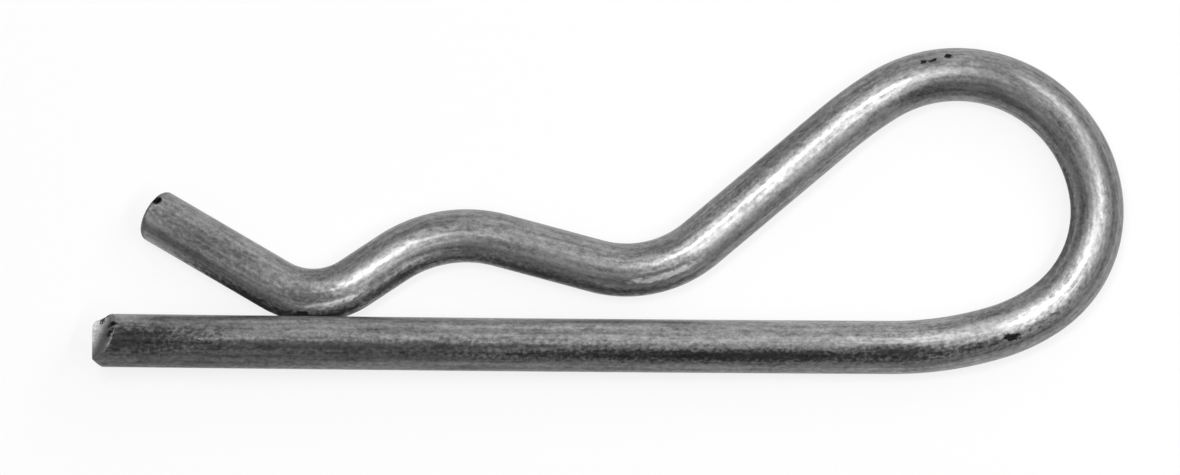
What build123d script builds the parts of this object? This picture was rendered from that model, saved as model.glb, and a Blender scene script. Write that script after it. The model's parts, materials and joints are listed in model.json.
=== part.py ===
from build123d import *
import os
from math import acos, asin, atan2, cos, degrees, hypot, radians, sin, sqrt, tan

# Hitch R clip pin, bent from one length of round steel wire.
# It lies flat: the bow and the sprung arm are level, with the arm on the +Y side.
# The straight leg runs along X, with its tip at -X and the bow at +X.
# The leg climbs from the bow to its tip, because it rests on the arm's contact bend.
# The origin is on the axis of the held shaft, level with the arm's centreline.
# Lengths are in millimetres and angles are in degrees.

# Wire and the shaft that the clip holds
WIRE_D = 4.0
SHAFT_D = 12.7
SEAT_PINCH = 0.2

# Heights of the arm's bends over the leg, seen in plan
NECK_GAP = 1.72
CONTACT_LAP = 0.45
CONTACT_GAP = 0.05

# Inside radii of the arm's bends
HUMP_BEND_R = 8.05
NECK_BEND_R = 6.7
CONTACT_BEND_R = 3.62

# Slopes of the arm's straight flanks against the leg
INNER_FLANK = 14.4
OUTER_FLANK = 34.0
TIP_FLANK = 29.6

# Bow: inside radii, the heading where the radius changes, and the ease at the top
BOW_LOWER_R = 6.85
BOW_UPPER_R = 8.55
BOW_CHANGE = 99.3
BOW_TOP_EASE_R = 28.6
BOW_TOP_EASE = 8.0

# Where the leg turns up into the bow: virtual corner, its turn and the two easing radii
CORNER_X = 38.7
CORNER_TURN = 33.7
LEG_EASE_R = 25.2
BOW_EASE_R = 11.8

# Leg: the slight set left by the spring load, and its straight free end
LEG_SET = 0.35
FREE_END_STOP = 2.75
LEG_REACH = 27.83

# Arm tip beyond the contact bend
TIP_RUN = 10.45

# Sheared arm tip: slant of the cut, the direction round the wire it leans to, worn rim
ARM_CUT_SLANT = 22.5
ARM_CUT_ROLL = 184.0
ARM_RIM_R = 0.28

# Sheared leg tip: the slanted cut, the square flat beyond its middle, the rolled-over corner
LEG_CUT_SLANT = 32.5
LEG_CUT_ROLL = 45.0
LEG_FLAT = 0.2
ROLLOVER = 0.34
ROLLOVER_SLANT = 45.0
ROLLOVER_ROLL = 265.0
LEG_RIM_R = 0.2


def along(angle):
    """Level unit vector at an angle from +X."""
    return Vector(cos(radians(angle)), sin(radians(angle)), 0)


def left_of(angle):
    """Level unit vector a quarter turn to the left of a heading."""
    return Vector(-sin(radians(angle)), cos(radians(angle)), 0)


def flank_offset(top, low, radius_sum, slope):
    """Run between two opposed bends of known heights, and how far apart their centres are."""
    run = (top - low - radius_sum * (1 - cos(radians(slope)))) / sin(radians(slope))
    spacing = radius_sum * sin(radians(slope)) + run * cos(radians(slope))
    return run, spacing


def lean_of(outward, roll):
    """Direction across the wire, rolled round it from +Z."""
    side = outward.cross(Vector(0, 0, 1)).normalized()
    up = side.cross(outward).normalized()
    return up * cos(radians(roll)) + side * sin(radians(roll))


def cut_plane(point, outward, slope, roll):
    """Plane across the wire that leans back by a slope, towards a roll round the wire."""
    return Plane(point, z_dir=outward + lean_of(outward, roll) * tan(radians(slope)))


# Wire radius, and the spare length that each shear takes off
wire_r = WIRE_D / 2
spare = WIRE_D

# Centreline radii
hump_r = HUMP_BEND_R + wire_r
neck_r = NECK_BEND_R + wire_r
contact_r = CONTACT_BEND_R + wire_r
bow_lower_r = BOW_LOWER_R + wire_r
bow_upper_r = BOW_UPPER_R + wire_r
bow_top_ease_r = BOW_TOP_EASE_R + wire_r
leg_ease_r = LEG_EASE_R + wire_r
bow_ease_r = BOW_EASE_R + wire_r

# Centreline heights over the leg's axis
hump_top = SHAFT_D / 2 - SEAT_PINCH + wire_r
neck_low = WIRE_D + NECK_GAP
contact_low = WIRE_D - CONTACT_LAP

# The shaft's axis is X = 0, so the bends either side follow from their heights and flanks
inner_run, inner_spacing = flank_offset(hump_top, neck_low, hump_r + neck_r, INNER_FLANK)
outer_run, outer_spacing = flank_offset(hump_top, contact_low, hump_r + contact_r, OUTER_FLANK)
neck_center = Vector(inner_spacing, neck_low + neck_r, 0)
contact_x = -outer_spacing

# The leg climbs just enough for the arm's contact bend to pass under its far side
contact_rise = sqrt((WIRE_D + CONTACT_GAP) ** 2 - contact_low**2)
climb = degrees(atan2(contact_rise, CORNER_X - contact_x))
leg_along = Vector(cos(radians(climb)), 0, -sin(radians(climb)))
corner_along = along(CORNER_TURN)
corner = Vector(CORNER_X, 0, 0)
leg_plane = Plane(corner, x_dir=leg_along, z_dir=leg_along.cross(corner_along))
leg_turn = degrees(acos(leg_along.dot(corner_along)))

# Compound bend from the leg into the bow, in the leg's own plane: turns holds how far
# the wire has turned where the leg's set and the two easing bends end
ease_turn = (leg_turn - LEG_SET) / 2
turns = [radians(angle) for angle in (LEG_SET, LEG_SET + ease_turn, leg_turn)]
ease_x = leg_ease_r * (sin(turns[1]) - sin(turns[0]))
ease_x += bow_ease_r * (sin(turns[2]) - sin(turns[1]))
ease_y = leg_ease_r * (cos(turns[0]) - cos(turns[1]))
ease_y += bow_ease_r * (cos(turns[1]) - cos(turns[2]))
free_end_stop_x = contact_x - FREE_END_STOP
set_span = (CORNER_X - free_end_stop_x) / cos(radians(climb))
set_r = (set_span - ease_x + ease_y / tan(turns[2])) / (
    sin(turns[0]) - (1 - cos(turns[0])) / tan(turns[2])
)
free_end = (LEG_REACH + free_end_stop_x) / cos(radians(climb))
bow_rise = set_r * (1 - cos(turns[0])) + ease_y
bow_start = corner + corner_along * (bow_rise / sin(turns[2]))

# Bow centres, then the slanted run as the common tangent of the bow and the neck bend
bow_lower_center = bow_start + left_of(CORNER_TURN) * bow_lower_r
bow_upper_center = bow_lower_center + left_of(BOW_CHANGE) * (bow_upper_r - bow_lower_r)
bow_top_r = bow_top_ease_r - (bow_top_ease_r - bow_upper_r) * cos(radians(BOW_TOP_EASE))
bow_to_neck = neck_center - bow_upper_center
centers = hypot(bow_to_neck.X, bow_to_neck.Y)
slant = degrees(
    atan2(bow_to_neck.Y, bow_to_neck.X) + asin((bow_top_r + neck_r) / centers)
) % 360
slant_run = sqrt(centers**2 - (bow_top_r + neck_r) ** 2)
slant_run -= (bow_top_ease_r - bow_upper_r) * sin(radians(BOW_TOP_EASE))

# Bends from the bow to the arm's tip: radius, turn to the left, straight run that follows
arm_bends = [
    (bow_lower_r, BOW_CHANGE - CORNER_TURN, 0),
    (bow_upper_r, slant - BOW_TOP_EASE - BOW_CHANGE, 0),
    (bow_top_ease_r, BOW_TOP_EASE, slant_run),
    (neck_r, 180 - INNER_FLANK - slant, inner_run),
    (hump_r, INNER_FLANK + OUTER_FLANK, outer_run),
    (contact_r, -OUTER_FLANK - TIP_FLANK, TIP_RUN),
]

# Planes that shape the leg's tip
leg_outward = leg_along * -1
leg_tip = corner - leg_along * (set_span + free_end)
leg_flat = leg_tip + leg_outward * LEG_FLAT
rollover_lean = lean_of(leg_outward, ROLLOVER_ROLL)
rollover_point = leg_flat + rollover_lean * wire_r - (leg_outward + rollover_lean) * ROLLOVER
leg_tip_planes = [
    cut_plane(leg_tip, leg_outward, LEG_CUT_SLANT, LEG_CUT_ROLL),
    Plane(leg_flat, z_dir=leg_outward),
    cut_plane(rollover_point, leg_outward, ROLLOVER_SLANT, ROLLOVER_ROLL),
]

# Leg, from beyond its tip to where it turns up into the bow, then sheared
with BuildPart() as leg:
    with BuildLine(leg_plane) as leg_path:
        straight = Line((-set_span - free_end - spare, 0), (-set_span, 0))
        sprung = JernArc(straight @ 1, straight % 1, set_r, LEG_SET)
        first_ease = JernArc(sprung @ 1, sprung % 1, leg_ease_r, ease_turn)
        second_ease = JernArc(first_ease @ 1, first_ease % 1, bow_ease_r, ease_turn)
    with BuildSketch(Plane(leg_path.line @ 0, z_dir=leg_along)) as leg_section:
        Circle(wire_r)
    sweep(path=leg_path.line)
    for plane in leg_tip_planes:
        split(bisect_by=plane, keep=Keep.BOTTOM)
    leg_end = leg.faces().filter_by(GeomType.PLANE).sort_by_distance(leg_tip)[:3]
    fillet(leg_end.edges(), LEG_RIM_R)

# Bow and arm, level, from the end of the leg's bend to beyond the arm's tip, then sheared
with BuildPart() as arm:
    with BuildLine() as arm_path:
        start, direction = bow_start, corner_along
        for radius, turn, run in arm_bends:
            bend = JernArc(start, direction, radius, turn)
            start, direction = bend @ 1, bend % 1
            if run:
                flank = Line(start, start + direction * run)
                start = flank @ 1
        Line(start, start + direction * spare)
    with BuildSketch(Plane(bow_start, z_dir=corner_along)) as arm_section:
        Circle(wire_r)
    sweep(path=arm_path.line)
    split(bisect_by=cut_plane(start, direction, ARM_CUT_SLANT, ARM_CUT_ROLL), keep=Keep.BOTTOM)
    arm_end = arm.faces().filter_by(GeomType.PLANE).sort_by_distance(start)[0]
    fillet(arm_end.edges(), ARM_RIM_R)

with BuildPart() as r_clip:
    add(leg.part)
    add(arm.part)

r_clip.part.label = "r_clip"
os.makedirs("parts", exist_ok=True)
export_step(r_clip.part, "parts/r_clip.step")
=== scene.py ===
import json
from collections import namedtuple
from math import acos, asin, atan2, cos, copysign, hypot, pi, radians, sin, sqrt, tan

import bpy
import numpy as np
from mathutils import Matrix, Quaternion, Vector


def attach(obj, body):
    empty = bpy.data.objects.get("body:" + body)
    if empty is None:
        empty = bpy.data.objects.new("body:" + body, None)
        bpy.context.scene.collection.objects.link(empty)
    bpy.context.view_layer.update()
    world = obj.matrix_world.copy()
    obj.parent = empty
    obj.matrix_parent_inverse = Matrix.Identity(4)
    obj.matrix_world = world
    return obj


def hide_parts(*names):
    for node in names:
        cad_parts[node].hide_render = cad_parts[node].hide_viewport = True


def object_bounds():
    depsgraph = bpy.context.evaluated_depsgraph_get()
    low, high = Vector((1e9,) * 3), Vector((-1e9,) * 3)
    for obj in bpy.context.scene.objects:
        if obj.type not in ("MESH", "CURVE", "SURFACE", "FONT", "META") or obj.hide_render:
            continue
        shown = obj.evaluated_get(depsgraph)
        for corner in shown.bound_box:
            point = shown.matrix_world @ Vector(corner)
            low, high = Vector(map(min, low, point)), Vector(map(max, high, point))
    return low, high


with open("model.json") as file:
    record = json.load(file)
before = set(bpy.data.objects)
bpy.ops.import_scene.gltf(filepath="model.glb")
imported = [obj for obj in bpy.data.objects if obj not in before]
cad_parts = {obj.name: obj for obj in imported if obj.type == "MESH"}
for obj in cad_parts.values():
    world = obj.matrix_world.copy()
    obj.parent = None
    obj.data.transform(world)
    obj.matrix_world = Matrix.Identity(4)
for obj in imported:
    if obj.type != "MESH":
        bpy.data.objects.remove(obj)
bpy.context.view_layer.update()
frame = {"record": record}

# A hitch R clip pin of drawn steel wire, lying on a pale floor and seen from above.
# Lengths are in metres, and angles in degrees, unless a name says otherwise.

MM = 0.001
mounts = {mount["name"]: mount for mount in frame["record"]["mounts"]}
wire_r = mounts["leg_end"]["dims"]["r_mm"] * MM
shaft_r = mounts["shaft_seat"]["dims"]["r_mm"] * MM
wire_d = 2 * wire_r

# Driving dimensions of the bends, the same as the solid's
SEAT_PINCH = 0.2 * MM
NECK_GAP = 1.72 * MM
CONTACT_LAP = 0.45 * MM
CONTACT_GAP = 0.05 * MM
HUMP_BEND_R = 8.05 * MM
NECK_BEND_R = 6.7 * MM
CONTACT_BEND_R = 3.62 * MM
INNER_FLANK = radians(14.4)
OUTER_FLANK = radians(34.0)
TIP_FLANK = radians(29.6)
BOW_LOWER_R = 6.85 * MM
BOW_UPPER_R = 8.55 * MM
BOW_CHANGE = radians(99.3)
BOW_TOP_EASE_R = 28.6 * MM
BOW_TOP_EASE = radians(8.0)
CORNER_X = 38.7 * MM
CORNER_TURN = radians(33.7)
LEG_EASE_R = 25.2 * MM
BOW_EASE_R = 11.8 * MM
LEG_SET = radians(0.35)
FREE_END_STOP = 2.75 * MM
LEG_REACH = 27.83 * MM
TIP_RUN = 10.45 * MM

# Sheared tips: the slant of each cut, the direction round the wire it leans to, worn rims
ARM_CUT_SLANT = radians(22.5)
ARM_CUT_ROLL = radians(184.0)
ARM_RIM_R = 0.28 * MM
LEG_CUT_SLANT = radians(32.5)
LEG_CUT_ROLL = radians(45.0)
LEG_FLAT = 0.2 * MM
ROLLOVER = 0.34 * MM
ROLLOVER_SLANT = radians(45.0)
ROLLOVER_ROLL = radians(265.0)
LEG_RIM_R = 0.2 * MM

# Mesh of the wire: rings along it, closer at a dent, and rings across each sheared face
RING_STEP = 0.35 * MM
DENT_STEP = 0.1 * MM
DENT_ZONE = 0.5 * MM
POINTS_ROUND = 128
TIP_LENGTH = 4.0 * MM
RIM_RINGS = 5
FACE_RINGS = 16

# The skin's map: rows of unrolled wire, the spare part of a row's length and the empty margin
UV_ROWS = 4
UV_OVERRUN = 1.02
UV_MARGIN = 0.01

# Marks on the wire, first the dents and then the smudges, a die line, and the painted shade and
# painted highlights that darken or lighten the steel where its reflections look darker or lighter:
# place along the wire from the leg's tip, angle round it from the left of its heading, length,
# width, turn, how much it darkens the steel (or brightens it, below zero), how soft its edge
# is, and the depth of its dent; in millimetres and degrees
Mark = namedtuple("Mark", "along angle length width turn shade softness dent")
MARKS = {
    # Dents, cut into the mesh, whose dark colour is painted shade in their hollows
    "arm_tip_chip": Mark(165.12, 122, 0.7, 0.8, 18, 1.0, 0.3, 0.3),
    "leg_tip_break": Mark(0.64, -13, 2.2, 0.8, 59, 0.95, 0.3, 0.36),
    "leg_tip_tear": Mark(1.1, 50, 1.05, 0.45, 0, 1.0, 0.3, 0.14),
    "leg_tip_nick": Mark(0.92, 74, 1.0, 0.5, 30, 0.97, 0.35, 0.12),
    "bow_top_pit_1": Mark(99.1, 128, 0.45, 0.38, 0, 0.95, 0.4, 0.06),
    "bow_top_pit_2": Mark(98.5, 127, 0.62, 0.38, 20, 0.9, 0.4, 0.06),
    "bow_top_pit_3": Mark(97.4, 134, 0.45, 0.45, -20, 1.0, 0.35, 0.09),
    # Below, painted shade, and painted highlights where the shade is below zero, save the smudges and
    # the die line, which mark the steel itself, and a thin dark line near the leg's tip
    "leg_tip_painted_shade": Mark(0.95, 108, 2.2, 1.3, 0, 0.45, 0.8, 0),
    "leg_end_shade": Mark(2, 86, 16, 3.0, 0, 0.76, 0.8, 0),
    "leg_tip_dark_line": Mark(2.8, 58, 3.4, 0.14, 0, 0.6, 0.5, 0),
    "leg_end_upper_painted_shade": Mark(6, 72, 24, 3.0, 0, 0.4, 0.9, 0),
    "leg_end_under_painted_shade": Mark(6, 150, 30, 1.8, 0, 0.52, 0.9, 0),
    "leg_end_painted_shade_band": Mark(18, 97, 56, 1.3, 0, 0.66, 0.85, 0),
    "leg_die_line": Mark(24, 60, 44, 0.5, 0, 0.32, 0.8, 0),
    "leg_under_painted_shade": Mark(28, 155, 58, 1.2, 0, 0.4, 0.9, 0),
    "leg_upper_painted_highlight": Mark(44, 32, 46, 1.3, 0, -0.14, 0.9, 0),
    # Painted dark reflection along the leg's lower side
    "leg_painted_dark_reflection": Mark(47, 110, 48, 1.1, 0, 0.8, 0.75, 0),
    "bow_start_painted_shade": Mark(60, 100, 9, 1.0, 0, 0.76, 0.8, 0),
    "bow_start_painted_highlight": Mark(61, 71, 9, 0.8, 0, -0.18, 0.8, 0),
    "bow_bottom_smudge": Mark(68.7, 110, 1.5, 0.62, -12, 0.93, 0.45, 0),
    "bow_inner_painted_highlight": Mark(70, 64, 13, 1.0, 0, -0.14, 0.9, 0),
    "bow_bottom_painted_shade": Mark(70.5, 110, 6, 0.9, 0, 0.35, 0.8, 0),
    "bow_inner_painted_shade": Mark(79, 20, 19, 1.2, 0, 0.7, 0.9, 0),
    "bow_top_smudge": Mark(96.1, 66, 2.4, 0.8, 0, 0.4, 0.8, 0),
    "bow_top_under_painted_shade": Mark(100.5, 114, 9, 0.9, 0, 0.35, 0.9, 0),
    "slant_smudge": Mark(103.7, 48, 1.8, 0.9, 0, 0.35, 0.8, 0),
    "slant_under_painted_shade": Mark(111, 130, 17, 1.1, 0, 0.48, 0.6, 0),
    "slant_edge_painted_shade": Mark(111, 154, 17, 1.0, 0, 0.42, 0.8, 0),
    "slant_painted_highlight": Mark(114, 50, 17, 1.2, 0, -0.16, 0.9, 0),
    # Painted highlight on the neck bend
    "neck_painted_highlight": Mark(123.6, 63, 4.2, 0.42, 0, -1.0, 0.7, 0),
    "neck_smudge": Mark(125.9, 74, 1.3, 0.5, 0, 0.3, 0.7, 0),
    "flank_painted_shade": Mark(131, 92, 19, 0.9, 0, 0.33, 0.8, 0),
    "neck_painted_shade": Mark(133, 32, 19, 1.3, 0, 0.75, 0.9, 0),
    "hump_top_painted_shade": Mark(139.8, 97, 7, 1.2, 0, 0.45, 0.9, 0),
    "hump_painted_highlight": Mark(143.5, 56, 7, 0.5, 0, -0.45, 0.9, 0),
    "hump_painted_shade": Mark(145.5, 40, 10, 1.4, 0, 0.75, 0.9, 0),
    "contact_under_painted_shade": Mark(148.5, 146, 9, 1.6, 0, 0.45, 0.9, 0),
    "contact_painted_highlight": Mark(149.6, 65, 3.4, 0.42, 0, -0.9, 0.7, 0),
    "hump_smudge": Mark(149.9, 90, 1.3, 0.5, 0, 0.4, 0.7, 0),
    "contact_painted_shade": Mark(151, 36, 7, 1.1, 0, 0.82, 0.6, 0),
    "contact_top_painted_shade": Mark(151.4, 88, 5.5, 1.6, 0, 0.62, 0.85, 0),
    # Painted shadow where the arm lies against the leg
    "contact_painted_shadow": Mark(151.75, 46, 1.0, 0.45, 0, 0.97, 0.35, 0),
    # Painted shade on the arm's underside, beside the leg
    "arm_painted_shade": Mark(155, 22, 12, 1.8, 0, 0.88, 0.8, 0),
    "arm_top_painted_shade": Mark(160.5, 97, 14, 1.7, 0, 0.56, 0.9, 0),
}

# How steeply a dent's side falls: 1 is a shallow bowl, and near 0 a pit with upright sides
BOWL_SLOPE = 0.45

UP = Vector((0, 0, 1))


def level(angle):
    """Level unit vector at an angle from +X."""
    return Vector((cos(angle), sin(angle), 0))


def flank_offset(top, low, radius_sum, slope):
    """Run between two opposed bends of known heights, and how far apart their centres are."""
    run = (top - low - radius_sum * (1 - cos(slope))) / sin(slope)
    return run, radius_sum * sin(slope) + run * cos(slope)


def ring_shares(start, length):
    """Where rings stand on a stretch of wire, as shares of its length: closer near a dent."""
    dents = [mark.along * MM for mark in MARKS.values() if mark.dent]
    shares, along = [], 0
    while along < length:
        near = min(abs(start + along - dent) for dent in dents) < DENT_ZONE
        step = DENT_STEP if near else RING_STEP
        along += step if along + 1.5 * step < length else length
        shares.append(min(along / length, 1))
    return shares


class Route:
    """Centreline of the wire: a list of stations, each a place, a heading, an upper side and
    the length of wire up to it."""

    def __init__(self, place, heading, upper):
        self.stations = [(place, heading, upper, 0)]

    def run(self, length):
        place, heading, upper, start = self.stations[-1]
        for share in ring_shares(start, length):
            reach = length * share
            self.stations.append((place + heading * reach, heading, upper, start + reach))

    def bend(self, axis, radius, turn):
        """Turns about an axis; a positive turn is to the left of the heading."""
        place, heading, upper, start = self.stations[-1]
        arm = axis.cross(heading) * copysign(radius, turn)
        length = radius * abs(turn)
        for share in ring_shares(start, length):
            turned = Quaternion(axis, turn * share)
            self.stations.append(
                (place + arm - turned @ arm, turned @ heading, turned @ upper, start + length * share)
            )


def clip_route():
    """The clip's centreline, from the leg's tip round the bow to the arm's tip."""
    hump_r, neck_r, contact_r = HUMP_BEND_R + wire_r, NECK_BEND_R + wire_r, CONTACT_BEND_R + wire_r
    bow_lower_r, bow_upper_r = BOW_LOWER_R + wire_r, BOW_UPPER_R + wire_r
    bow_top_ease_r = BOW_TOP_EASE_R + wire_r
    leg_ease_r, bow_ease_r = LEG_EASE_R + wire_r, BOW_EASE_R + wire_r

    # Heights over the leg's axis, and the bends placed from the shaft's axis
    hump_top = shaft_r - SEAT_PINCH + wire_r
    neck_low = wire_d + NECK_GAP
    contact_low = wire_d - CONTACT_LAP
    inner_run, inner_spacing = flank_offset(hump_top, neck_low, hump_r + neck_r, INNER_FLANK)
    outer_run, outer_spacing = flank_offset(hump_top, contact_low, hump_r + contact_r, OUTER_FLANK)
    neck_center = Vector((inner_spacing, neck_low + neck_r, 0))
    contact_x = -outer_spacing

    # The leg climbs over the arm's contact bend
    contact_rise = sqrt((wire_d + CONTACT_GAP) ** 2 - contact_low**2)
    climb = atan2(contact_rise, CORNER_X - contact_x)
    leg_along = Vector((cos(climb), 0, -sin(climb)))
    corner = Vector((CORNER_X, 0, 0))
    corner_along = level(CORNER_TURN)
    leg_axis = leg_along.cross(corner_along).normalized()
    leg_turn = acos(leg_along.dot(corner_along))

    # Leg, its slight set, and the two easing bends
    ease_turn = (leg_turn - LEG_SET) / 2
    middle = LEG_SET + ease_turn
    ease_x = leg_ease_r * (sin(middle) - sin(LEG_SET)) + bow_ease_r * (sin(leg_turn) - sin(middle))
    ease_y = leg_ease_r * (cos(LEG_SET) - cos(middle)) + bow_ease_r * (cos(middle) - cos(leg_turn))
    free_end_stop_x = contact_x - FREE_END_STOP
    set_span = (CORNER_X - free_end_stop_x) / cos(climb)
    set_r = (set_span - ease_x + ease_y / tan(leg_turn)) / (
        sin(LEG_SET) - (1 - cos(LEG_SET)) / tan(leg_turn)
    )
    free_end = (LEG_REACH + free_end_stop_x) / cos(climb)
    bow_rise = set_r * (1 - cos(LEG_SET)) + ease_y
    bow_start = corner + corner_along * (bow_rise / sin(leg_turn))

    # Bow, and the slanted run as the common tangent of the bow and the neck bend
    bow_lower_center = bow_start + level(CORNER_TURN + pi / 2) * bow_lower_r
    bow_upper_center = bow_lower_center + level(BOW_CHANGE + pi / 2) * (bow_upper_r - bow_lower_r)
    bow_top_r = bow_top_ease_r - (bow_top_ease_r - bow_upper_r) * cos(BOW_TOP_EASE)
    bow_to_neck = neck_center - bow_upper_center
    centers = hypot(bow_to_neck.x, bow_to_neck.y)
    slant = atan2(bow_to_neck.y, bow_to_neck.x) + asin((bow_top_r + neck_r) / centers)
    slant %= 2 * pi
    slant_run = sqrt(centers**2 - (bow_top_r + neck_r) ** 2)
    slant_run -= (bow_top_ease_r - bow_upper_r) * sin(BOW_TOP_EASE)

    route = Route(
        corner - leg_along * (set_span + free_end),
        leg_along,
        Quaternion(leg_axis, -leg_turn) @ UP,
    )
    route.run(free_end)
    route.bend(leg_axis, set_r, LEG_SET)
    route.bend(leg_axis, leg_ease_r, ease_turn)
    route.bend(leg_axis, bow_ease_r, ease_turn)
    route.bend(UP, bow_lower_r, BOW_CHANGE - CORNER_TURN)
    route.bend(UP, bow_upper_r, slant - BOW_TOP_EASE - BOW_CHANGE)
    route.bend(UP, bow_top_ease_r, BOW_TOP_EASE)
    route.run(slant_run)
    route.bend(UP, neck_r, pi - INNER_FLANK - slant)
    route.run(inner_run)
    route.bend(UP, hump_r, INNER_FLANK + OUTER_FLANK)
    route.run(outer_run)
    route.bend(UP, contact_r, -OUTER_FLANK - TIP_FLANK)
    route.run(TIP_RUN)
    return route.stations


def lean_of(outward, roll):
    """Direction across the wire, rolled round it from +Z."""
    side = outward.cross(UP).normalized()
    return side.cross(outward) * cos(roll) + side * sin(roll)


def cut_reach(across, outward, slant, roll):
    """How far a slanted cut through the tip's middle lets the wire reach, at points across it."""
    return -(across @ np.array(lean_of(outward, roll))) * tan(slant)


def leg_tip_reach(across, outward):
    """Reach of the leg's sheared tip: a slanted cut, a square flat and a rolled-over corner."""
    slanted = cut_reach(across, outward, LEG_CUT_SLANT, LEG_CUT_ROLL)
    corner = cut_reach(across, outward, ROLLOVER_SLANT, ROLLOVER_ROLL)
    corner += LEG_FLAT - ROLLOVER + (wire_r - ROLLOVER) * tan(ROLLOVER_SLANT)
    return np.minimum(np.minimum(slanted, LEG_FLAT), corner)


def arm_tip_reach(across, outward):
    """Reach of the arm's sheared tip: one slanted cut."""
    return cut_reach(across, outward, ARM_CUT_SLANT, ARM_CUT_ROLL)


def dented_radius(radius, along, angles):
    """Radius at points round the wire, where the dents of the marks limit it."""
    limit = np.full(len(angles), wire_r)
    for mark in MARKS.values():
        if not mark.dent:
            continue
        ahead = along - mark.along * MM
        beside = ((angles - radians(mark.angle) + pi) % (2 * pi) - pi) * wire_r
        turn = radians(mark.turn)
        long = (ahead * cos(turn) + beside * sin(turn)) / (mark.length / 2 * MM)
        wide = (beside * cos(turn) - ahead * sin(turn)) / (mark.width / 2 * MM)
        bowl = np.clip(1 - long**2 - wide**2, 0, 1)
        limit -= mark.dent * MM * bowl**BOWL_SLOPE
    return np.minimum(radius, limit)


Ring = namedtuple("Ring", "points along radius heading")
round_angles = np.linspace(0, 2 * pi, POINTS_ROUND, endpoint=False)


def ring_across(heading, upper, radius):
    """Points round the wire's middle, starting at the left of its heading."""
    left, up = np.array(upper.cross(heading)), np.array(upper)
    cosines, sines = np.cos(round_angles)[:, None], np.sin(round_angles)[:, None]
    return np.reshape(radius, (-1, 1)) * (cosines * left + sines * up)


def tip_rings(station, facing, reach, rim_r):
    """Rings from the middle of a sheared face to the plain wire."""
    place, heading, upper, length = station
    outward = heading * facing
    face_r = wire_r - rim_r
    sizes = [(face_r * i / FACE_RINGS, 0) for i in range(FACE_RINGS + 1)]
    for i in range(1, RIM_RINGS + 1):
        angle = pi / 2 * i / RIM_RINGS
        sizes.append((face_r + rim_r * sin(angle), rim_r * (1 - cos(angle))))
    sizes += [(wire_r, rim_r)] * round(TIP_LENGTH / DENT_STEP)
    rings = []
    for i, (radius, drop) in enumerate(sizes):
        back = max(0, i - FACE_RINGS - RIM_RINGS) * DENT_STEP / TIP_LENGTH
        ends = reach(ring_across(heading, upper, radius), outward) - drop
        ends = ends * (1 - back) - TIP_LENGTH * back
        along = length + facing * ends
        sunk = dented_radius(radius, along, round_angles)
        across = ring_across(heading, upper, sunk)
        points = np.array(place) + across + ends[:, None] * np.array(outward)
        rings.append(Ring(points, along, radius, heading))
    return rings


def wire_rings(stations):
    """Rings of the whole wire, from one sheared face's middle to the other's."""
    total = stations[-1][3]
    rings = tip_rings(stations[0], -1, leg_tip_reach, LEG_RIM_R)
    for place, heading, upper, length in stations:
        if TIP_LENGTH + RING_STEP / 2 < length < total - TIP_LENGTH - RING_STEP / 2:
            along = np.full(POINTS_ROUND, length)
            radius = dented_radius(wire_r, along, round_angles)
            points = np.array(place) + ring_across(heading, upper, radius)
            rings.append(Ring(points, along, wire_r, heading))
    rings += tip_rings(stations[-1], 1, arm_tip_reach, ARM_RIM_R)[::-1]
    return rings


def wire_faces(rows):
    """Quads between the rings, and a fan of triangles round each pole."""
    faces = []
    for row in range(rows - 1):
        for i in range(POINTS_ROUND):
            j = (i + 1) % POINTS_ROUND
            near, far = row * POINTS_ROUND, (row + 1) * POINTS_ROUND
            faces.append((near + i, near + j, far + j, far + i))
    first_pole = rows * POINTS_ROUND
    last_row = (rows - 1) * POINTS_ROUND
    for i in range(POINTS_ROUND):
        j = (i + 1) % POINTS_ROUND
        faces.append((first_pole, j, i))
        faces.append((first_pole + 1, last_row + i, last_row + j))
    return faces


def unroll(mesh, rings):
    """UV map of the wire's skin, unrolled and laid in rows, one above the other."""
    middles = np.array([[ring.along.mean(), ring.radius] for ring in rings])
    steps = np.linalg.norm(np.diff(middles, axis=0), axis=1)
    reach = np.concatenate([[0], np.cumsum(steps)]) / steps.sum() * UV_ROWS
    rows = np.minimum(reach[:-1].astype(int), UV_ROWS - 1)
    uvs = []
    for ring in range(1, len(rings) - 2):
        for i in range(POINTS_ROUND):
            uvs += [(ring, ring, i), (ring, ring, i + 1), (ring, ring + 1, i + 1), (ring, ring + 1, i)]
    last = len(rings) - 1
    for i in range(POINTS_ROUND):
        uvs += [(0, 0, i + 0.5), (0, 1, i + 1), (0, 1, i)]
        uvs += [(last - 1, last, i + 0.5), (last - 1, last - 1, i), (last - 1, last - 1, i + 1)]
    first, ring, i = np.array(uvs).T
    row = rows[first.astype(int)]
    along = np.clip(reach[ring.astype(int)] - row, 0, UV_OVERRUN)
    u = UV_MARGIN + along / UV_OVERRUN * (1 - 2 * UV_MARGIN)
    v = (row + UV_MARGIN + i / POINTS_ROUND * (1 - 2 * UV_MARGIN)) / UV_ROWS
    layer = mesh.uv_layers.new(name="OFBake")
    layer.data.foreach_set("uv", np.stack([u, v], axis=1).astype(np.float32).ravel())


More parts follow.
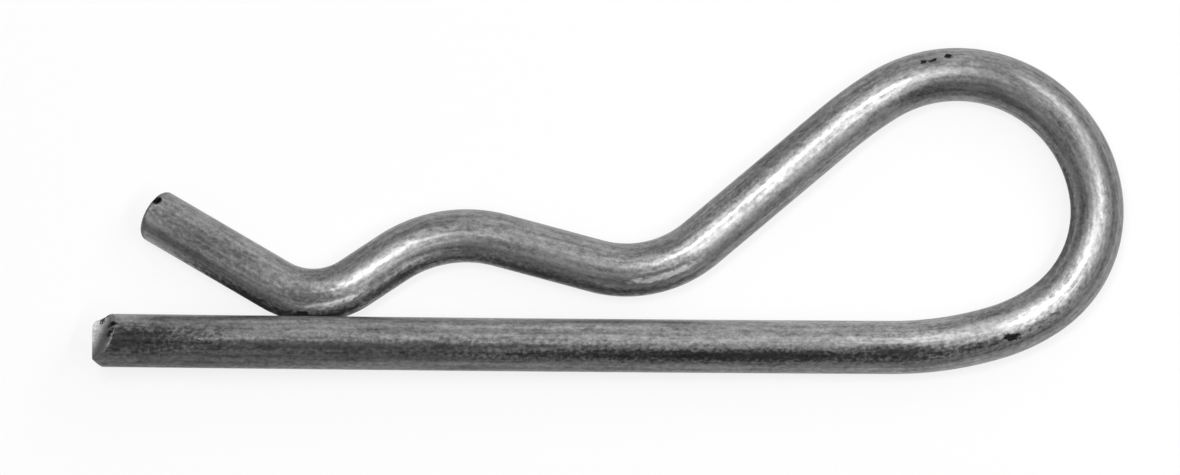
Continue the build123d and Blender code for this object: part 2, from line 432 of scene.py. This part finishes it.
def build_wire():
    """The bent wire as one closed mesh, which knows its own straightened coordinates."""
    rings = wire_rings(clip_route())
    points, straight, headings = [], [], []
    for ring in rings[1:-1]:
        points.append(ring.points)
        across = ring.radius * np.array([np.cos(round_angles), np.sin(round_angles)])
        straight.append(np.vstack([ring.along, across]).T)
        headings.append(np.tile(ring.heading, (POINTS_ROUND, 1)))
    for pole in (rings[0], rings[-1]):
        points.append(pole.points[:1])
        straight.append([[pole.along[0], 0, 0]])
        headings.append([pole.heading])
    points, straight, headings = map(np.concatenate, (points, straight, headings))
    mesh = bpy.data.meshes.new("wire")
    mesh.from_pydata(points.tolist(), [], wire_faces(len(rings) - 2))
    for name, values in (("straight", straight), ("heading", headings)):
        attribute = mesh.attributes.new(name, "FLOAT_VECTOR", "POINT")
        attribute.data.foreach_set("vector", values.astype(np.float32).ravel())
    unroll(mesh, rings)
    sheared_quads = (FACE_RINGS + RIM_RINGS) * POINTS_ROUND
    sheared = np.zeros(len(mesh.polygons), np.int32)
    sheared[:sheared_quads] = 1
    sheared[-sheared_quads - 2 * POINTS_ROUND :] = 1
    mesh.polygons.foreach_set("material_index", sheared)
    mesh.shade_smooth()
    wire = bpy.data.objects.new("wire", mesh)
    bpy.context.scene.collection.objects.link(wire)
    return wire


wire = build_wire()
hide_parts("r_clip")
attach(wire, "root")

# Noise: the values that it mostly keeps between, the length and width of the cells that make a
# mark's edge ragged, how far they move it, and how deep a mark reaches into the wire's radius
NOISE_LOW = 0.3
NOISE_HIGH = 0.7
RAGGED_GRAIN = (0.35, 0.25)
EDGE_RAGGED = 0.3
MARK_DEPTH_SHARE = 0.25


def add_node(tree, kind, inputs=None, **settings):
    """A shader node; each input is a plain value, or another node's output."""
    made = tree.nodes.new("ShaderNode" + kind)
    for name, value in settings.items():
        setattr(made, name, value)
    for name, value in (inputs or {}).items():
        if isinstance(value, bpy.types.NodeSocket):
            tree.links.new(value, made.inputs[name])
        else:
            made.inputs[name].default_value = value
    return made


def math(tree, operation, *values):
    """The result of one sum on plain values and other nodes' outputs."""
    return add_node(tree, "Math", dict(enumerate(values)), operation=operation).outputs[0]


def new_material(name):
    """A material with an empty tree of nodes."""
    material = bpy.data.materials.new(name)
    material.use_nodes = True
    material.node_tree.nodes.clear()
    return material, material.node_tree


def wire_coordinates(tree):
    """The straightened wire's coordinates, in millimetres."""
    straight = add_node(tree, "Attribute", attribute_name="straight").outputs["Vector"]
    scaled = add_node(tree, "VectorMath", {0: straight, "Scale": 1 / MM}, operation="SCALE")
    return scaled.outputs[0]


def grain(tree, place, along, across):
    """Noise whose cells have a length along the wire and a width across it, in millimetres."""
    scale = (1 / along, 1 / across, 1 / across)
    mapped = add_node(tree, "Mapping", {"Vector": place, "Scale": scale}).outputs[0]
    return add_node(tree, "TexNoise", {"Vector": mapped, "Scale": 1.0}).outputs[0]


def spread(tree, value, low, high, to_low, to_high):
    """The value from low to high, spread smoothly over another range."""
    inputs = {"Value": value, "From Min": low, "From Max": high, "To Min": to_low, "To Max": to_high}
    return add_node(tree, "MapRange", inputs, interpolation_type="SMOOTHSTEP").outputs[0]


def swing(tree, value, size):
    """A noise's value as a swing of a size each way."""
    return spread(tree, value, NOISE_LOW, NOISE_HIGH, -size, size)


def grey(tree, value):
    """A grey of a value."""
    return add_node(tree, "CombineColor", {0: value, 1: value, 2: value}).outputs[0]


def mark_mask(tree, place, ragged, mark):
    """One where a mark is, with a soft and slightly ragged edge."""
    angle, radius = radians(mark.angle), wire_r / MM
    turned = Matrix.Rotation(angle, 3, "X") @ Matrix.Rotation(radians(mark.turn), 3, "Y")
    frame_of_mark = {
        "Vector": place,
        "Location": (mark.along, radius * cos(angle), radius * sin(angle)),
        "Rotation": turned.to_euler(),
        "Scale": (mark.length / 2, radius * MARK_DEPTH_SHARE + mark.dent, mark.width / 2),
    }
    mapped = add_node(tree, "Mapping", frame_of_mark, vector_type="TEXTURE").outputs[0]
    distance = add_node(tree, "VectorMath", {0: mapped}, operation="LENGTH").outputs["Value"]
    reach = math(tree, "ADD", distance, ragged)
    return spread(tree, reach, 1 - mark.softness, 1 + mark.softness, 1, 0)


def marks_shade(tree, place, marks):
    """The strongest of some marks at each place."""
    ragged = swing(tree, grain(tree, place, *RAGGED_GRAIN), EDGE_RAGGED)
    strongest = None
    for mark in marks:
        mask = math(tree, "MULTIPLY", mark_mask(tree, place, ragged, mark), abs(mark.shade))
        strongest = math(tree, "MAXIMUM", strongest, mask) if strongest else mask
    return strongest


# Steel: its grey, the share of it that the darkest mark leaves, and what a full painted highlight adds
STEEL_GREY = 0.215
DARKEST_SHARE = 0.06
PAINTED_HIGHLIGHT_GAIN = 4.0

# Grains of drawn wire: length along it and width across it, in millimetres, and how much each
# lightens and darkens the steel
DRAWN_GRAINS = {
    "pores": (0.22, 0.17, 0.17),
    "speckle": (0.6, 0.32, 0.22),
    "die_lines": (6.0, 0.28, 0.21),
    "blotches": (3.5, 1.3, 0.15),
}

# Gloss: the fine lines along the wire spread a highlight round it, a speckle is a little more
# polished, and stains and painted shade are rougher; relief of the lines, and the pores and the
# stains and painted shade against them
DRAWN_ROUGHNESS = 0.31
DRAWN_ANISOTROPY = 0.95
QUARTER_TURN = 0.25
SPECKLE_POLISH = 0.02
STAIN_AND_SHADE_ROUGHNESS = 0.3
DRAWN_RELIEF = 0.0008 * MM
PORE_RELIEF = 0.3
STAIN_AND_SHADE_RELIEF = 4.0

# The steel's tint at grazing angles, and the thin film of oil that covers it between the stains and
# painted shade
GRAZING_TINT = (0.55, 0.55, 0.55, 1)
FILM_SHARE = 0.65
FILM_ROUGHNESS = 0.24
FILM_IOR = 1.6


def drawn_steel():
    """Dull drawn wire: pores, die lines along it, blotches, and the marks: dents, smudges, painted
    shade and painted highlights.
    """
    material, tree = new_material("drawn_steel")
    place = wire_coordinates(tree)
    grains = {}
    tone = 1.0
    for name, (along, across, size) in DRAWN_GRAINS.items():
        grains[name] = grain(tree, place, along, across)
        tone = math(tree, "ADD", tone, swing(tree, grains[name], size))
    # Darkening from the dents' painted shade, the smudges, the die line and the painted shade marks,
    # and lightening from the painted highlights
    dark = marks_shade(tree, place, [mark for mark in MARKS.values() if mark.shade > 0])
    bright = marks_shade(tree, place, [mark for mark in MARKS.values() if mark.shade < 0])
    unmarked = spread(tree, dark, 0, 1, 1, DARKEST_SHARE)
    painted_highlight_factor = math(tree, "MULTIPLY_ADD", bright, PAINTED_HIGHLIGHT_GAIN, 1.0)
    steel = math(tree, "MULTIPLY", tone, STEEL_GREY)
    steel = math(tree, "MULTIPLY", steel, unmarked)
    steel = math(tree, "MULTIPLY", steel, painted_highlight_factor)
    speckle = swing(tree, grains["speckle"], 1)
    roughness = math(tree, "MULTIPLY_ADD", speckle, -SPECKLE_POLISH, DRAWN_ROUGHNESS)
    roughness = math(tree, "MULTIPLY_ADD", dark, STAIN_AND_SHADE_ROUGHNESS, roughness)
    film = spread(tree, dark, 0, 1, FILM_SHARE, 0)
    height = math(tree, "MULTIPLY_ADD", grains["pores"], PORE_RELIEF, grains["die_lines"])
    height = math(tree, "MULTIPLY_ADD", dark, -STAIN_AND_SHADE_RELIEF, height)
    relief = add_node(tree, "Bump", {"Strength": 1.0, "Distance": DRAWN_RELIEF, "Height": height})
    heading = add_node(tree, "Attribute", attribute_name="heading").outputs["Vector"]
    surface = {
        "Base Color": grey(tree, steel),
        "Metallic": 1.0,
        "Roughness": roughness,
        "Anisotropic": DRAWN_ANISOTROPY,
        "Anisotropic Rotation": QUARTER_TURN,
        "Tangent": heading,
        "Normal": relief.outputs[0],
        "Specular Tint": GRAZING_TINT,
        "Coat Weight": film,
        "Coat Roughness": FILM_ROUGHNESS,
        "Coat IOR": FILM_IOR,
    }
    shader = add_node(tree, "BsdfPrincipled", surface).outputs[0]
    add_node(tree, "OutputMaterial", {"Surface": shader})
    return material


# Sheared faces: the greys of the smooth lower side, the torn upper side and the worn rim, and
# the heights on the face, in millimetres, between which smooth turns into torn
SMOOTH_GREY = 0.8
TORN_GREY = 0.09
RIM_GREY = 0.22
SMOOTH_TOP = -1.2
TORN_BOTTOM = 1.3

# Marks of the blade: the stretch of the scratches' noise across the face and down it, the torn
# grain's length and width in millimetres, how much each lightens and darkens the steel, relief
SCRATCH_SCALE = (1, 8, 0.7)
SCRATCH_TONE = 0.16
TORN_GRAIN = (0.25, 0.25)
TORN_TONE = 0.15
SHEAR_ROUGHNESS = 0.6
SHEAR_RELIEF = 0.01 * MM


def sheared_steel():
    """Sheared faces: smooth where the blade entered, torn beyond, with fine marks of the blade."""
    material, tree = new_material("sheared_steel")
    place = wire_coordinates(tree)
    height = add_node(tree, "SeparateXYZ", {0: place}).outputs["Z"]
    steel = spread(tree, height, SMOOTH_TOP, TORN_BOTTOM, SMOOTH_GREY, TORN_GREY)
    on_face = add_node(tree, "VectorMath", {0: place, 1: (0, 1, 1)}, operation="MULTIPLY").outputs[0]
    radius = add_node(tree, "VectorMath", {0: on_face}, operation="LENGTH").outputs["Value"]
    face_r = (wire_r - ARM_RIM_R) / MM
    rim = spread(tree, radius, face_r, wire_r / MM, 0, 1)
    steel = add_node(tree, "Mix", {"Factor": rim, "A": steel, "B": RIM_GREY}).outputs[0]
    scratched = add_node(tree, "Mapping", {"Vector": on_face, "Scale": SCRATCH_SCALE}).outputs[0]
    scratches = add_node(tree, "TexNoise", {"Vector": scratched, "Scale": 1.0}).outputs[0]
    torn = grain(tree, place, *TORN_GRAIN)
    tone = math(tree, "ADD", swing(tree, scratches, SCRATCH_TONE), swing(tree, torn, TORN_TONE))
    steel = math(tree, "MULTIPLY", steel, math(tree, "ADD", tone, 1.0))
    # The dents darken the sheared faces as well: painted shade in their hollows
    dark = marks_shade(tree, place, [mark for mark in MARKS.values() if mark.dent])
    steel = math(tree, "MULTIPLY", steel, spread(tree, dark, 0, 1, 1, DARKEST_SHARE))
    grooves = math(tree, "ADD", scratches, torn)
    relief = add_node(tree, "Bump", {"Strength": 1.0, "Distance": SHEAR_RELIEF, "Height": grooves})
    surface = {
        "Base Color": grey(tree, steel),
        "Metallic": 1.0,
        "Roughness": SHEAR_ROUGHNESS,
        "Normal": relief.outputs[0],
    }
    shader = add_node(tree, "BsdfPrincipled", surface).outputs[0]
    add_node(tree, "OutputMaterial", {"Surface": shader})
    return material


wire.data.materials.append(drawn_steel())
wire.data.materials.append(sheared_steel())

# Camera straight above, at the photograph's scale and turned as the photograph is
VIEW_WIDTH = 88.59 * MM
VIEW_MIDDLE = Vector((9.17 * MM, 8.13 * MM, 0))
VIEW_ROLL = radians(0.674)
LENS_MM = 500
SENSOR_MM = 36

# Softboxes, as the clip sees them: how far each stands from straight overhead towards +X and
# towards +Y, its width, height and turn, all in degrees, its radiance and its distance
Softbox = namedtuple("Softbox", "towards_x towards_y width height turn radiance distance")
SOFTBOXES = {
    "key_softbox": Softbox(-8.1, 9.7, 6.3, 17.1, 139, 38.5, 1.50),
    "side_strip": Softbox(17.6, -7.2, 3.0, 24.4, -18, 30.36, 0.52),
    "fill_strip": Softbox(33.6, 22.6, 18.7, 51.2, -13, 4.25, 0.45),
    "low_softbox": Softbox(10.4, 60.0, 32.2, 52.3, -40, 0.91, 0.45),
    "back_softbox": Softbox(-24.9, -24.3, 29.6, 40.9, 81, 0.71, 1.50),
    "top_strip": Softbox(6.2, 19.9, 8.2, 36.6, 1, 2.03, 0.45),
}

# Floor: how far it reaches, its colour, and how much of what is seen of it is plain white
FLOOR_REACH = 5.0
FLOOR_COLOUR = (0.9, 0.9, 0.9, 1)
FLOOR_WHITE_SHARE = 0.8

# The world is white below one height of its direction, and nearly black above another
HORIZON_END = 0.02
OVERHEAD_START = 0.2
OVERHEAD_LIGHT = 0.02


def add_camera():
    """Camera with a long lens, so that the view is nearly flat, as in the photograph."""
    data = bpy.data.cameras.new("camera")
    camera = bpy.data.objects.new("camera", data)
    bpy.context.scene.collection.objects.link(camera)
    bpy.context.scene.camera = camera
    data.lens = LENS_MM
    data.sensor_width = SENSOR_MM
    distance = VIEW_WIDTH * LENS_MM / SENSOR_MM
    data.clip_end = 2 * distance
    camera.location = VIEW_MIDDLE + UP * distance
    camera.rotation_euler = (0, 0, VIEW_ROLL)


def add_softbox(name, box):
    """Area lamp that faces the clip, out of the camera's sight."""
    data = bpy.data.lights.new(name, "AREA")
    data.shape = "RECTANGLE"
    data.size = 2 * box.distance * tan(radians(box.width / 2))
    data.size_y = 2 * box.distance * tan(radians(box.height / 2))
    data.energy = box.radiance * pi * data.size * data.size_y
    lamp = bpy.data.objects.new(name, data)
    bpy.context.scene.collection.objects.link(lamp)
    tilt = radians(hypot(box.towards_x, box.towards_y))
    outward = level(atan2(box.towards_y, box.towards_x)) * sin(tilt) + UP * cos(tilt)
    side = Quaternion(outward, radians(box.turn)) @ Vector((0, 1, 0)).cross(outward).normalized()
    lamp.location = VIEW_MIDDLE + outward * box.distance
    lamp.rotation_euler = Matrix((side, outward.cross(side), outward)).transposed().to_euler()
    lamp.visible_camera = False


def add_floor():
    """Pale floor, as large as any view of the clip needs."""
    mesh = bpy.data.meshes.new("floor")
    corners = [(-1, -1), (1, -1), (1, 1), (-1, 1)]
    corners = [(x * FLOOR_REACH, y * FLOOR_REACH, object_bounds()[0].z) for x, y in corners]
    mesh.from_pydata(corners, [], [(0, 1, 2, 3)])
    floor = bpy.data.objects.new("floor", mesh)
    bpy.context.scene.collection.objects.link(floor)
    material, tree = new_material("paper")
    matt = add_node(tree, "BsdfDiffuse", {"Color": FLOOR_COLOUR}).outputs[0]
    white = add_node(tree, "Emission", {"Color": (1, 1, 1, 1)}).outputs[0]
    rays = add_node(tree, "LightPath").outputs
    seen = math(tree, "MAXIMUM", rays["Is Camera Ray"], rays["Is Glossy Ray"])
    seen = math(tree, "MAXIMUM", seen, rays["Is Transmission Ray"])
    share = math(tree, "MULTIPLY", seen, FLOOR_WHITE_SHARE)
    paper = add_node(tree, "MixShader", {0: share, 1: matt, 2: white}).outputs[0]
    add_node(tree, "OutputMaterial", {"Surface": paper})
    mesh.materials.append(material)


def add_world():
    """A white horizon that darkens overhead."""
    world = bpy.data.worlds.new("studio")
    bpy.context.scene.world = world
    world.use_nodes = True
    tree = world.node_tree
    direction = add_node(tree, "TexCoord").outputs["Generated"]
    height = add_node(tree, "SeparateXYZ", {0: direction}).outputs["Z"]
    light = {"Value": height, "From Min": HORIZON_END, "From Max": OVERHEAD_START}
    light |= {"To Min": 1.0, "To Max": OVERHEAD_LIGHT}
    light = add_node(tree, "MapRange", light).outputs[0]
    tree.links.new(grey(tree, light), tree.nodes["Background"].inputs["Color"])


add_camera()
for name, box in SOFTBOXES.items():
    add_softbox(name, box)
add_floor()
add_world()
bpy.context.scene.view_settings.view_transform = "Standard"
